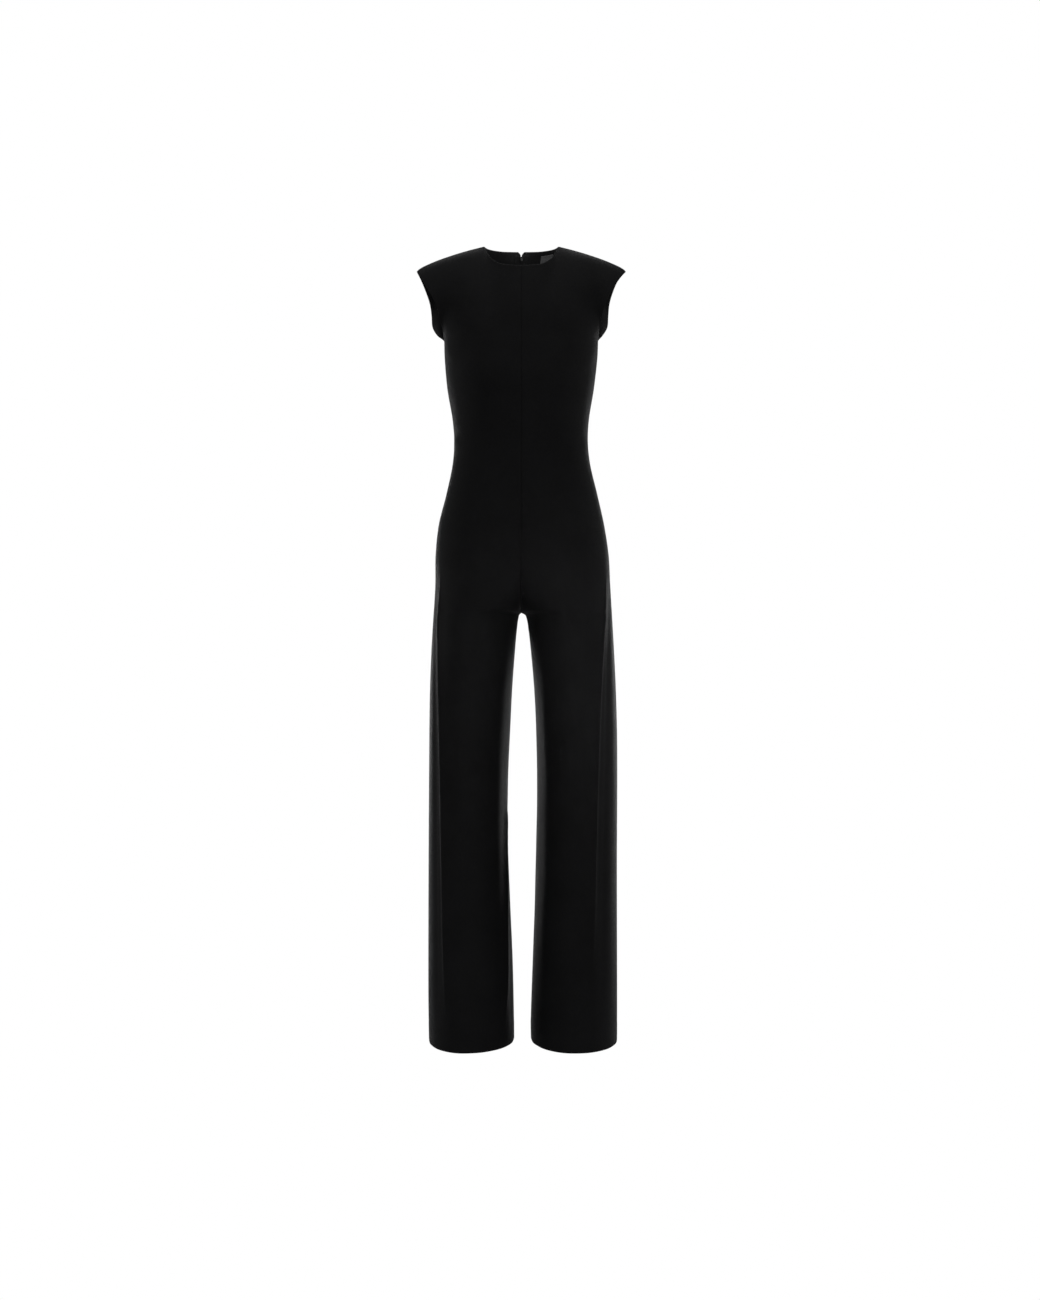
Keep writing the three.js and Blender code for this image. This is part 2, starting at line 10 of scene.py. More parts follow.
import bmesh
import bpy
import numpy as np
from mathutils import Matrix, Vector


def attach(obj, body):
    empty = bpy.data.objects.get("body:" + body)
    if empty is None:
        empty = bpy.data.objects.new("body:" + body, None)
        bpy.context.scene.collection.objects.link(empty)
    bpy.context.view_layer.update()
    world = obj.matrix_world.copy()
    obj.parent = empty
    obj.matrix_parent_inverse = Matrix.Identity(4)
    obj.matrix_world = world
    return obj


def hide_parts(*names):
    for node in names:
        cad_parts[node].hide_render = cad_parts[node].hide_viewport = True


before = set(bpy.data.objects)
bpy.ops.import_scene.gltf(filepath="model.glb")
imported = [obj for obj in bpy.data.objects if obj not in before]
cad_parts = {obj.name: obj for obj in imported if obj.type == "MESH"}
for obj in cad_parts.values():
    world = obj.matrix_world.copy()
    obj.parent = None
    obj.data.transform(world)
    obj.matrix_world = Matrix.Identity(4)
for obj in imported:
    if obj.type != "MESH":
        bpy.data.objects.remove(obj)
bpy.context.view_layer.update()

MM = 0.001

# Driving sizes of the cloth, in millimetres
CLOTH = 1.1  # one layer of crepe
HALF_GAP = 0.002  # half the gap that a sewn seam leaves
HEM_Z = -1475
UNDERARM_Z = -178
CROTCH_Z = -682
CROTCH_START_Z = -580
SPLIT_TOP_Z = -500
SPLIT_END_Z = -720
INSEAM_Y = 8
ZIP_END_Z = -545
SIDE_SIGN = {"left": 1, "right": -1}
FACE_SIGN = {"front": -1, "back": 1}
PANELS = [(face, side) for side in ("left", "right") for face in ("front", "back")]


def table(columns, *rows):
    """Rows of numbers under named columns."""
    return dict(zip(columns.split(), np.array(rows, dtype=float).T))


def entries(columns, *rows):
    """One dictionary for each row, under named columns."""
    return [dict(zip(columns.split(), row)) for row in rows]


# Torso and leg sections: half widths at the side seams, and depths of the front and back
BODY = table(
    "z right left front back",
    (-178, 143, 142.5, 112, 88),
    (-212, 142, 141, 119, 91),
    (-268, 137, 134.5, 123, 89),
    (-324, 127.5, 125.5, 109, 78),
    (-366, 124.5, 123.5, 96, 69),
    (-408, 127.5, 128, 91, 69),
    (-463, 139, 141, 95, 83),
    (-519, 153, 153.5, 101, 102),
    (-575, 159, 162, 106, 114),
    (-630, 159.5, 165, 108, 117),
    (-714, 164, 169.5, 108, 113),
    (-826, 168.5, 175, 106, 108),
    (-937, 170, 177.5, 105, 105),
    (-1160, 171.5, 177, 103, 102),
    (-1384, 172, 177.5, 101, 99),
    (HEM_Z, 171, 177.5, 101, 98),
)

# Distance of each leg's inner edge from the middle plane
INNER_LEG = table(
    "z right left",
    (CROTCH_Z, HALF_GAP, HALF_GAP),
    (-687, 4.2, 8),
    (-714, 8.2, 13.5),
    (-770, 13, 19.6),
    (-826, 17, 24.2),
    (-882, 19.8, 27),
    (-993, 24.6, 29.4),
    (-1105, 25, 28),
    (-1216, 21, 25.4),
    (-1328, 16, 21.3),
    (-1440, 13.4, 17.6),
    (HEM_Z, 13, 18),
)

# Neck edge from the centre seam to the shoulder seam
NECK = {
    "front": table(
        "x y z",
        (0, -75, -55),
        (19, -73, -53.5),
        (36, -66, -50),
        (48, -55, -42),
        (57, -42, -32),
        (62, -30, -22),
        (70, 5, 0),
    ),
    "back": table(
        "x y z",
        (0, 65, 5.2),
        (18, 63.5, 5),
        (34, 59, 4.3),
        (46, 51, 3.5),
        (57, 40, 2.6),
        (65, 25, 1.4),
        (70, 5, 0),
    ),
}

# Shoulder seam from the neck to the tip
SHOULDER = table(
    "x y z",
    (70, 5, 0),
    (97, 6, -6.7),
    (131.5, 7, -17),
    (164.5, 8, -28.5),
    (188.5, 8, -40),
    (195.3, 8, -46),
)

# Armhole edge from the shoulder tip to the underarm
ARMHOLE = {
    "front": table(
        "right left y z",
        (195.3, 195.3, 8, -46),
        (187, 184, -12, -62),
        (176, 172, -30, -82),
        (164, 160, -43, -104),
        (154, 151, -47, -126),
        (148, 146, -40, -147),
        (144.5, 143.5, -24, -166),
        (143, 142.5, 0, UNDERARM_Z),
    ),
    "back": table(
        "right left y z",
        (195.3, 195.3, 8, -46),
        (188, 182, 16, -60),
        (180, 173, 32, -78),
        (173, 167, 46, -98),
        (170, 165, 54, -119),
        (168, 163, 53, -140),
        (158, 153, 36, -160),
        (146, 144.5, 14, -173),
        (143, 142.5, 0, UNDERARM_Z),
    ),
}

# How the cloth leaves the neck and shoulder edge: outwards and down
START = {
    "front": table("u out down", (0, 0.42, 1), (0.25, 0.6, 1), (0.5, 1, 0.6), (0.75, 1, 0.2), (1, 1, 0.45)),
    "back": table("u out down", (0, 0.3, 1), (0.25, 0.5, 1), (0.5, 1, 0.6), (0.75, 1, 0.2), (1, 1, 0.45)),
}
NECK_SHARE = 0.5  # share of a panel's top edge that is the neck
ARMHOLE_REACH = 4  # power that keeps the armhole's pull near its edge

# Half the notch's width in the back neck, and the share of a panel that it moves
NOTCH = table("z half", (6, 6.6), (4, 4.8), (1.5, 2), (0, 1.1), (-8, 1), (-14, HALF_GAP))
NOTCH_REACH = 0.15

# Powers of the sections' curves, where a leg is deepest between its seams, and how the rows run
ROUNDNESS = {
    "torso": {"centre": 2.3, "across": 2.2, "along": 2.15},
    "leg": {"centre": 2.1, "across": 2.05, "along": 2.05},
}
LEG_DEEPEST = {"right": 0.57, "left": 0.5}
CENTRE_CURVE = 2.4
ROW_DIP = 12
ROW_BEND = {"across": 1.5, "inseam": 1.8, "side": 1.3}

# Long soft folds of the legs, at distances from a seam round the leg, plus to the front
LEG_FOLDS = entries(
    "side seam top foot z_top z_foot bend width height",
    ("right", "side", 48, 99, -600, -1440, 4, 13, 2.5),
    ("right", "side", 27, 78, -600, -1475, 4, 12, -2),
    ("right", "side", -44, -52, -640, -1560, 1, 34, 6),
    ("left", "side", 36, 113, -600, -1340, 5, 14, 2.5),
    ("left", "side", 15, 91, -600, -1420, 5, 14, -2.5),
    ("left", "side", -44, -50, -640, -1560, 1, 34, 4),
    ("right", "inseam", 25, 66, -1020, -1440, 1, 13, 2.5),
    ("right", "inseam", 8, 40, -1020, -1475, 1, 12, -2.5),
    ("left", "inseam", -40, -34, -860, -1400, 1, 16, 3),
)

# The folds' crests and the hollows beside them, which are too fine for the solids
CRESTS = entries(
    "side seam top foot z_top z_foot bend width height",
    ("right", "side", 48, 99, -600, -1440, 4, 2.8, 2.2),
    ("right", "side", 39, 90, -600, -1440, 4, 6, -1.2),
    ("left", "side", 36, 113, -600, -1340, 5, 2.8, 2.4),
    ("left", "side", 27, 104, -600, -1340, 5, 6, -1.2),
    ("right", "inseam", 25, 66, -1020, -1440, 1, 3, 1.4),
    ("right", "inseam", 14, 55, -1020, -1440, 1, 5.5, -1),
    ("right", "side", -60, -66, -700, -1500, 1, 9, 1.2),
    ("left", "side", -58, -70, -700, -1500, 1, 9, 1.2),
    ("left", "inseam", -52, -44, -800, -1500, 1, 8, 1.2),
    ("right", "inseam", -48, -40, -820, -1500, 1, 8, 1.1),
)
FOLD_FADE = {"top": 0.12, "foot": 0.8}

# Short soft creases: distances from the side seam or armhole, levels, half width, height and bow
CREASES = {
    "front": [
        dict(start=(10, -192), end=(88, -256), width=15, height=-0.8, bow=6),
        dict(start=(22, -186), end=(98, -232), width=13, height=0.5, bow=5),
        dict(start=(8, -118), end=(62, -148), width=12, height=-0.6, bow=4),
        dict(start=(2, -350), end=(62, -362), width=9, height=-0.9, bow=-3),
        dict(start=(2, -366), end=(54, -376), width=8, height=0.7, bow=-3),
        dict(start=(3, -386), end=(58, -390), width=9, height=-0.8, bow=3),
        dict(start=(96, -300), end=(108, -455), width=26, height=-0.9, bow=5),
        dict(start=(190, -668), end=(66, -588), width=13, height=-0.8, bow=9),
        dict(start=(186, -640), end=(84, -562), width=14, height=0.6, bow=8),
    ],
    "back": [
        dict(start=(14, -344), end=(132, -366), width=10, height=-1.7, bow=6),
        dict(start=(22, -362), end=(126, -384), width=9, height=1.4, bow=6),
        dict(start=(26, -381), end=(118, -402), width=10, height=-1.6, bow=5),
        dict(start=(34, -402), end=(104, -418), width=9, height=0.9, bow=4),
        dict(start=(8, -134), end=(80, -190), width=14, height=-1.0, bow=7),
        dict(start=(20, -128), end=(92, -168), width=13, height=0.7, bow=6),
        dict(start=(30, -668), end=(170, -716), width=15, height=-1.3, bow=-10),
        dict(start=(24, -690), end=(150, -742), width=15, height=0.9, bow=-9),
        dict(start=(110, -215), end=(116, -330), width=24, height=-1.0, bow=4),
    ],
}
LEFT_CHANGE = {"shift": (5, -7), "height": 0.8}  # the left's creases differ a little from the right's

# Finishes of the edges: distances from the edge, in millimetres
SEAM = {"groove": 0.8, "width": 1.1, "ridge": 0.2, "ridge_at": 4.5, "ridge_width": 3}
PUCKER = {"height": 0.1, "pitch": 17, "reach": 7}
SHOULDER_SEAM = {"share": 0.5, "length": 900}  # pressed flatter than the others
TURNED = {"roll": 0.7, "width": 0.9, "swell": 0.25, "depth": 9, "slope": 4, "step": 1}
HEM = {"roll": 0.6, "width": 1.2, "depth": 34, "swell": 0.12, "slope": 3, "step": 1}
DIMPLE = {"height": 0.18, "pitch": 9, "width": 2.2}  # where the hem is caught down
ALLOWANCE = {"width": 13, "thickness": 0.45, "step": 1.2, "most": 1.6}

# Soft waves of the cloth: heights, wave lengths, and where they fade
WAVE_SHIFT = 40
BODY_WAVE = {"height": 0.35, "length": 118, "from_top": 40, "from_seam": 30}
LEG_WAVE = {"height": 0.4, "length": 74, "across": 1.6, "down": 0.12, "from_seam": 26, "z": (-560, -900)}
WANDER = {"size": 1.7, "pace": 0.31, "phase": 0.4}
RIPPLES = entries("strength a b phase", (0.6, 0.53, 0.38, 2.1), (0.4, -0.22, 1.31, 0.9))

# The grid of a panel: rows down the bodice, to the crotch, past it and down the leg
ROWS = [62, 92, 34, 140]
COLUMN_PLACES = table("column share", (0, 0), (36, 0.29), (56, 0.6), (116, 1))
EDGE_SHARES = [0, 0.0022, 0.005, 0.009, 0.015, 0.024]
EDGE_ROWS = [0.004, 0.009, 0.017]
HEM_ROW_SHARE = 0.25  # the hem's rows lie closer, as a leg is longer than the bodice
SECTION_STEPS = 80
STEADY = 3  # this far in from an edge, the grid's directions are steady


def mix(a, b, t):
    return a + (b - a) * t


def smoothstep(start, end, value):
    t = np.clip((value - start) / (end - start), 0, 1)
    return t * t * (3 - 2 * t)


def hermite(p0, p1, m0, m1, t):
    s = 1 - t
    return s * s * (1 + 2 * t) * p0 + t * t * (3 - 2 * t) * p1 + s * s * t * m0 - t * t * s * m1


def look_up(rows, key, name, at):
    """A named column at values of its key, on a smooth curve through the rows."""
    falling = rows[key][0] > rows[key][-1]
    x = -rows[key] if falling else rows[key]
    y = rows[name]
    at = np.clip(-np.asarray(at, float) if falling else np.asarray(at, float), x[0], x[-1])
    low = np.maximum(np.arange(len(x)) - 1, 0)
    high = np.minimum(np.arange(len(x)) + 1, len(x) - 1)
    slopes = (y[high] - y[low]) / (x[high] - x[low])
    i = np.clip(np.searchsorted(x, at, side="right") - 1, 0, len(x) - 2)
    step = x[i + 1] - x[i]
    return hermite(y[i], y[i + 1], slopes[i] * step, slopes[i + 1] * step, (at - x[i]) / step)


def running_lengths(lines):
    """Distances along each of many lines, given as (line, point, xyz)."""
    steps = np.linalg.norm(np.diff(lines, axis=1), axis=2)
    return np.concatenate([np.zeros((len(lines), 1)), np.cumsum(steps, axis=1)], axis=1)


def points_at(lines, distances, shares=False):
    """The point of each line at its distance, or share of the length, from the line's start."""
    lengths = running_lengths(lines)
    target = np.broadcast_to(distances, (len(lines),)).astype(float)
    if shares:
        target = target * lengths[:, -1]
    beyond = np.clip((lengths <= target[:, None]).sum(axis=1), 1, lengths.shape[1] - 1)
    each = np.arange(len(lines))
    before = lengths[each, beyond - 1]
    t = (target - before) / np.maximum(lengths[each, beyond] - before, 1e-9)
    return mix(lines[each, beyond - 1], lines[each, beyond], t[:, None])


def values_at(lines, values, distance):
    """Values given at the points of each line, at a distance along it."""
    lengths = running_lengths(lines)
    return np.array([
        [np.interp(distance, lengths[i], values[i, :, k]) for k in range(values.shape[2])]
        for i in range(len(lines))
    ])


def quarter(deep_x, deep_y, end_x, end_y, power_x, power_y):
    """A quarter of each section from its deepest point to an end, on a superellipse."""
    angle = np.linspace(0, math.pi / 2, SECTION_STEPS + 1)[None, :]
    across = np.sin(angle) ** (2 / power_x[:, None])
    along = np.clip(np.cos(angle), 0, 1) ** (2 / power_y[:, None])
    x = mix(deep_x[:, None], end_x[:, None], across)
    y = mix(end_y[:, None], deep_y[:, None], along)
    return np.stack([x, y, np.zeros_like(x)], axis=2)


def half_sections(face, side, z):
    """Half a section at each level, from the centre seam or inseam round to the side seam."""
    sign = FACE_SIGN[face]
    flat = sign * look_up(BODY, "z", face, z)
    inseam = INSEAM_Y + sign * HALF_GAP
    sunk = np.clip((CROTCH_START_Z - z) / (CROTCH_START_Z - CROTCH_Z), 0, 1)
    start_y = inseam + (flat - inseam) * np.sqrt(1 - sunk**CENTRE_CURVE)
    start_x = np.where(z > CROTCH_Z, HALF_GAP, look_up(INNER_LEG, "z", side, z))
    side_x = look_up(BODY, "z", side, z)
    side_y = np.full_like(z, sign * HALF_GAP)
    split = smoothstep(SPLIT_TOP_Z, SPLIT_END_Z, z)
    deep_x = mix(start_x, side_x, split * LEG_DEEPEST[side])
    torso, leg = ROUNDNESS["torso"], ROUNDNESS["leg"]
    power = {name: mix(torso[name], leg[name], split) for name in leg}
    inner = quarter(deep_x, flat, start_x, start_y, power["centre"], 1 + sunk**2)
    outer = quarter(deep_x, flat, side_x, side_y, power["across"], power["along"])
    return np.concatenate([inner[:, ::-1], outer[:, 1:]], axis=1)


def section_points(face, side, u, z):
    points = points_at(half_sections(face, side, z), u, shares=True)
    points[:, 0] *= SIDE_SIGN[side]
    points[:, 2] = z
    return points


def edge_curve(rows, x_name="x", steps=60):
    """A smooth curve through a table's points, with many short steps."""
    points = np.stack([rows[x_name], rows["y"], rows["z"]], axis=1)
    first = 2 * points[0] - points[1]
    last = 2 * points[-1] - points[-2]
    padded = np.vstack([first, points, last])
    gaps = np.linalg.norm(np.diff(padded, axis=0), axis=1) ** 0.5
    t = np.linspace(0, 1, steps, endpoint=False)[:, None]
    curve = []
    for i in range(1, len(padded) - 2):
        a, b, c, d = padded[i - 1 : i + 3]
        before, here, after = gaps[i - 1 : i + 2]
        leaving = (b - a) / before - (c - a) / (before + here) + (c - b) / here
        arriving = (c - b) / here - (d - b) / (here + after) + (d - c) / after
        curve.append(hermite(b, c, leaving * here, arriving * here, t))
    return np.vstack([*curve, points[-1]])


def along_curve(curve, shares):
    lines = np.broadcast_to(curve, (len(shares), *curve.shape))
    return points_at(lines, shares, shares=True)


def top_edge(face, side, u):
    """The top edge of a panel: the neck from the centre seam, then the shoulder seam."""
    neck = along_curve(edge_curve(NECK[face]), np.clip(u / NECK_SHARE, 0, 1))
    shoulder = along_curve(edge_curve(SHOULDER), np.clip((u - NECK_SHARE) / (1 - NECK_SHARE), 0, 1))
    shoulder[:, 1] += FACE_SIGN[face] * HALF_GAP
    points = np.where((u < NECK_SHARE)[:, None], neck, shoulder)
    points[:, 0] *= SIDE_SIGN[side]
    return points


def bodice_columns(face, side, u, t):
    """The bodice above the underarm: a curve down from the top edge at each share u."""
    top = top_edge(face, side, u)
    foot = section_points(face, side, u, np.full_like(u, UNDERARM_Z))
    below = section_points(face, side, u, np.full_like(u, UNDERARM_Z - 1))
    chord = np.linalg.norm(foot - top, axis=1)[:, None]
    out = FACE_SIGN[face] * look_up(START[face], "u", "out", u)
    start = np.stack([np.zeros_like(u), out, -look_up(START[face], "u", "down", u)], axis=1)
    start *= chord / np.linalg.norm(start, axis=1)[:, None]
    end = (below - foot) * chord / np.linalg.norm(below - foot, axis=1)[:, None]
    return hermite(top[None], foot[None], start[None], end[None], t[:, None, None])


def bodice_points(face, side, u, t):
    points = bodice_columns(face, side, u, t)
    armhole = along_curve(edge_curve(ARMHOLE[face], side), t) * [SIDE_SIGN[side], 1, 1]
    pull = armhole - bodice_columns(face, side, np.ones(1), t)[:, 0]
    points = points + pull[:, None] * (u**ARMHOLE_REACH)[None, :, None]
    gap = look_up(NOTCH, "z", "half", points[..., 2]) if face == "back" else HALF_GAP
    spread = (gap - HALF_GAP) * (1 - smoothstep(0, NOTCH_REACH, u))[None, :]
    seam = HALF_GAP * (1 - u)[None, :] * (1 - t)[:, None]
    points[..., 0] += SIDE_SIGN[side] * (spread + seam)
    return points


def level_at(u, v):
    """Level of a point below the underarm. The rows dip towards the crotch, where its seams meet."""
    if v <= 2:
        return np.full_like(u, mix(UNDERARM_Z, CROTCH_START_Z, v - 1))
    side_crotch = CROTCH_Z - ROW_DIP
    share = 1 - (1 - u) ** ROW_BEND["across"]
    if v <= 3:
        inner = mix(CROTCH_START_Z, CROTCH_Z, math.sin((v - 2) * math.pi / 2))
        return mix(inner, mix(CROTCH_START_Z, side_crotch, v - 2), share)
    inner = mix(CROTCH_Z, HEM_Z, (v - 3) ** ROW_BEND["inseam"])
    return mix(inner, mix(side_crotch, HEM_Z, (v - 3) ** ROW_BEND["side"]), share)


def panel_shares():
    """Shares across a panel and rows down it, closer together at its edges and folds."""
    near = np.array(EDGE_SHARES)
    columns = np.arange(COLUMN_PLACES["column"][-1] + 1)
    middle = mix(near[-1], 1 - near[-1], look_up(COLUMN_PLACES, "column", "share", columns))[1:-1]
    u = np.concatenate([near, middle, 1 - near[::-1]])
    v = np.concatenate([k + np.linspace(0, 1, count, endpoint=False) for k, count in enumerate(ROWS)])
    edge = np.array(EDGE_ROWS)
    v = np.concatenate([v, edge, [4], 4 - edge * HEM_ROW_SHARE])
    return u, np.unique(v)


def plain_grid(face, side, u, v):
    """A panel's outer face without its creases, as (row, column, xyz)."""
    upper = bodice_points(face, side, u, v[v < 1])
    lower = [section_points(face, side, u, level_at(u, row)) for row in v[v >= 1]]
    return np.concatenate([upper, np.array(lower)])


def outward_normals(face, side, u, v, grid):
    """The wall's direction outwards. Seams share their neighbour's, so the walls lie side by side."""
    across = np.gradient(grid, axis=1)
    down = np.gradient(grid, axis=0)
    normals = np.cross(across, down) * SIDE_SIGN[side] * FACE_SIGN[face]
    normals[v < 3, 0] *= [0, 1, 1]
    normals[v >= 3, 0] *= [1, 0, 1]
    normals[v >= 1, -1] *= [1, 0, 1]
    normals[0, u >= NECK_SHARE] *= [1, 0, 1]
    return normals / np.linalg.norm(normals, axis=2, keepdims=True)


def leg_folds(face, side, z, from_centre, from_side):
    height = np.zeros_like(z)
    for fold in LEG_FOLDS + CRESTS:
        if fold["side"] != side:
            continue
        distance = from_side if fold["seam"] == "side" else from_centre
        t = np.clip((z - fold["z_top"]) / (fold["z_foot"] - fold["z_top"]), 0, 1)
        place = mix(fold["top"], fold["foot"], 1 - (1 - t) ** fold["bend"])
        offset = -FACE_SIGN[face] * distance - place
        fade = smoothstep(0, FOLD_FADE["top"], t) * smoothstep(1, FOLD_FADE["foot"], t)
        height += fold["height"] * fade * np.exp(-((offset / fold["width"]) ** 2))
    return height


def creases(face, side, z, from_side):
    height = np.zeros_like(z)
    shift = np.array(LEFT_CHANGE["shift"] if side == "left" else (0, 0))
    strength = LEFT_CHANGE["height"] if side == "left" else 1
    for crease in CREASES[face]:
        start = np.array(crease["start"]) + shift
        run = np.array(crease["end"]) + shift - start
        length = np.hypot(*run)
        along = ((from_side - start[0]) * run[0] + (z - start[1]) * run[1]) / length**2
        away = ((from_side - start[0]) * run[1] - (z - start[1]) * run[0]) / length
        inside = np.sin(math.pi * np.clip(along, 0, 1))
        offset = away - crease["bow"] * inside
        height += strength * crease["height"] * inside * np.exp(-((offset / crease["width"]) ** 2))
    return height


def ripple(a, b, length):
    """Soft uneven waves of about one unit, with a wave length of its own."""
    k = 2 * math.pi / length
    waves = np.sin(k * a + WANDER["size"] * np.sin(k * WANDER["pace"] * b + WANDER["phase"]))
    for wave in RIPPLES:
        waves = waves + wave["strength"] * np.sin(k * (wave["a"] * a + wave["b"] * b) + wave["phase"])
    return waves / 2


def edge_distances(grid):
    """Distances from the centre seam, the side or armhole, the top edge and the hem."""
    across = running_lengths(grid)
    down = running_lengths(grid.transpose(1, 0, 2)).T
    return across, across[:, -1:] - across, down, down[-1:] - down


def seam_relief(distance, along):
    groove = -SEAM["groove"] * np.exp(-((distance / SEAM["width"]) ** 2))
    ridge = SEAM["ridge"] * np.exp(-(((distance - SEAM["ridge_at"]) / SEAM["ridge_width"]) ** 2))
    fade = np.exp(-distance / PUCKER["reach"])
    return groove + ridge + PUCKER["height"] * ripple(along, distance, PUCKER["pitch"]) * fade


def turned_relief(distance):
    roll = -TURNED["roll"] * np.exp(-((distance / TURNED["width"]) ** 2))
    return roll + TURNED["swell"] * smoothstep(TURNED["depth"], TURNED["depth"] - TURNED["slope"], distance)


def hem_relief(distance, along):
    roll = -HEM["roll"] * np.exp(-((distance / HEM["width"]) ** 2))
    spots = np.clip(np.cos(2 * math.pi * along / DIMPLE["pitch"]), 0, 1)
    dimples = -DIMPLE["height"] * spots * np.exp(-(((distance - HEM["depth"]) / DIMPLE["width"]) ** 2))
    swell = HEM["swell"] * smoothstep(HEM["depth"] + HEM["slope"], HEM["depth"] - HEM["slope"], distance)
    return roll + dimples + swell


def soft_waves(face, side, z, from_centre, from_side, from_top):
    """Low waves over the whole cloth, and longer ones that hang down the legs."""
    phase = WAVE_SHIFT * (SIDE_SIGN[side] + 2 * FACE_SIGN[face])
    body = smoothstep(0, BODY_WAVE["from_top"], from_top)
    body = body * smoothstep(0, BODY_WAVE["from_seam"], np.minimum(from_side, from_centre))
    legs = smoothstep(*LEG_WAVE["z"], z) * smoothstep(0, LEG_WAVE["from_seam"], from_side)
    height = BODY_WAVE["height"] * body * ripple(from_side + phase, z, BODY_WAVE["length"])
    across = LEG_WAVE["across"] * from_side + phase
    return height + LEG_WAVE["height"] * legs * ripple(across, LEG_WAVE["down"] * z, LEG_WAVE["length"])


def outer_relief(face, side, u, v, grid):
    """Height of everything that is laid on a panel's plain form."""
    z = grid[..., 2]
    from_centre, from_side, from_top, from_hem = edge_distances(grid)
    across, down = np.meshgrid(u, v)
    neck = (across < NECK_SHARE) & (down < 1)
    height = leg_folds(face, side, z, from_centre, from_side)
    height += creases(face, side, z, from_side)
    height += soft_waves(face, side, z, from_centre, from_side, from_top)
    height += seam_relief(from_centre, z)
    height += np.where(down < 1, turned_relief(from_side), seam_relief(from_side, z))
    shoulder = SHOULDER_SEAM["share"] * seam_relief(from_top, SHOULDER_SEAM["length"] * across)
    height += np.where(neck, turned_relief(from_top), shoulder)
    return height + hem_relief(from_hem, from_side)


def layer(width, step, distance):
    """One more layer up to a width from an edge."""
    return smoothstep(width, width - step, distance)


def wall_thickness(u, v, grid):
    """The cloth with what is turned or pressed back inside it."""
    from_centre, from_side, from_top, from_hem = edge_distances(grid)
    across, down = np.meshgrid(u, v)
    below_neck = across < NECK_SHARE
    beside_armhole = down < 1
    seams = layer(ALLOWANCE["width"], ALLOWANCE["step"], from_centre)
    seams = np.maximum(seams, layer(ALLOWANCE["width"], ALLOWANCE["step"], from_side) * ~beside_armhole)
    seams = np.maximum(seams, layer(ALLOWANCE["width"], ALLOWANCE["step"], from_top) * ~below_neck)
    turned = layer(TURNED["depth"], TURNED["step"], from_side) * beside_armhole
    turned = np.maximum(turned, layer(TURNED["depth"], TURNED["step"], from_top) * below_neck)
    hem = layer(HEM["depth"], HEM["step"], from_hem)
    layers = np.minimum(seams + turned + hem, ALLOWANCE["most"])
    from_neck = np.where(below_neck, from_top, from_hem)
    from_armhole = np.where(beside_armhole, from_side, from_hem)
    free = np.minimum(np.minimum(from_neck, from_armhole), from_hem)
    rounding = 2 * TURNED["roll"] * np.exp(-((free / TURNED["width"]) ** 2))  # from both faces
    return CLOTH + ALLOWANCE["thickness"] * layers - rounding


def make_panel_form(face, side):
    """A panel's grids: its outer and inner points and the directions outwards."""
    u, v = panel_shares()
    grid = plain_grid(face, side, u, v)
    normals = outward_normals(face, side, u, v, grid)
    height = outer_relief(face, side, u, v, grid)[..., None]
    outer = grid + normals * height
    inner = outer - normals * wall_thickness(u, v, grid)[..., None]
    return {"outer": outer, "inner": inner, "normals": normals, "u": u, "v": v}


def mesh_object(name, points, faces, material):
    """A smooth object from points in millimetres."""
    mesh = bpy.data.meshes.new(name)
    mesh.from_pydata((np.asarray(points) * MM).tolist(), [], faces)
    mesh.validate()
    mesh.update()
    mesh.shade_smooth()
    mesh.materials.append(material)
    piece = bpy.data.objects.new(name, mesh)
    bpy.context.scene.collection.objects.link(piece)
    return piece


def shell_faces(rows, columns):
    """Faces of a closed body between an outer and an inner grid."""
    index = np.arange(2 * rows * columns).reshape(2, rows, columns)
    out, ins = index
    faces = [
        np.stack([out[:-1, :-1], out[1:, :-1], out[1:, 1:], out[:-1, 1:]], axis=-1),
        np.stack([ins[:-1, :-1], ins[:-1, 1:], ins[1:, 1:], ins[1:, :-1]], axis=-1),
        np.stack([out[:-1, 0], ins[:-1, 0], ins[1:, 0], out[1:, 0]], axis=-1),
        np.stack([out[:-1, -1], out[1:, -1], ins[1:, -1], ins[:-1, -1]], axis=-1),
        np.stack([out[0, :-1], out[0, 1:], ins[0, 1:], ins[0, :-1]], axis=-1),
        np.stack([out[-1, :-1], ins[-1, :-1], ins[-1, 1:], out[-1, 1:]], axis=-1),
    ]
    return np.concatenate([part.reshape(-1, 4) for part in faces])


def shell_object(name, outer, inner, flip, material):
    rows, columns = outer.shape[:2]
    faces = shell_faces(rows, columns)
    if flip:
        faces = faces[:, ::-1]
    points = np.concatenate([outer.reshape(-1, 3), inner.reshape(-1, 3)])
    return mesh_object(name, points, faces.tolist(), material)


def mirrored(face, side):
    return SIDE_SIGN[side] * FACE_SIGN[face] > 0


OFF_AXIS = (0.31, 0.87, 0.39)  # a direction that no thread runs along


def tube_parts(path, radius, sides, first):
    """Points and faces of a closed tube along a path, numbered from a first point."""
    path = np.asarray(path)
    tangents = np.gradient(path, axis=0)
    tangents /= np.linalg.norm(tangents, axis=1)[:, None]
    side = np.cross(tangents, OFF_AXIS)
    side /= np.linalg.norm(side, axis=1)[:, None]
    up = np.cross(side, tangents)
    turn = np.linspace(0, 2 * math.pi, sides, endpoint=False)
    ring = side[:, None] * np.cos(turn)[None, :, None] + up[:, None] * np.sin(turn)[None, :, None]
    points = (path[:, None] + radius * ring).reshape(-1, 3)
    index = first + np.arange(len(points)).reshape(len(path), sides)
    after = np.roll(index, -1, axis=1)
    walls = np.stack([index[:-1], after[:-1], after[1:], index[1:]], axis=-1).reshape(-1, 4)
    return points, [*walls.tolist(), index[0, ::-1].tolist(), index[-1].tolist()]


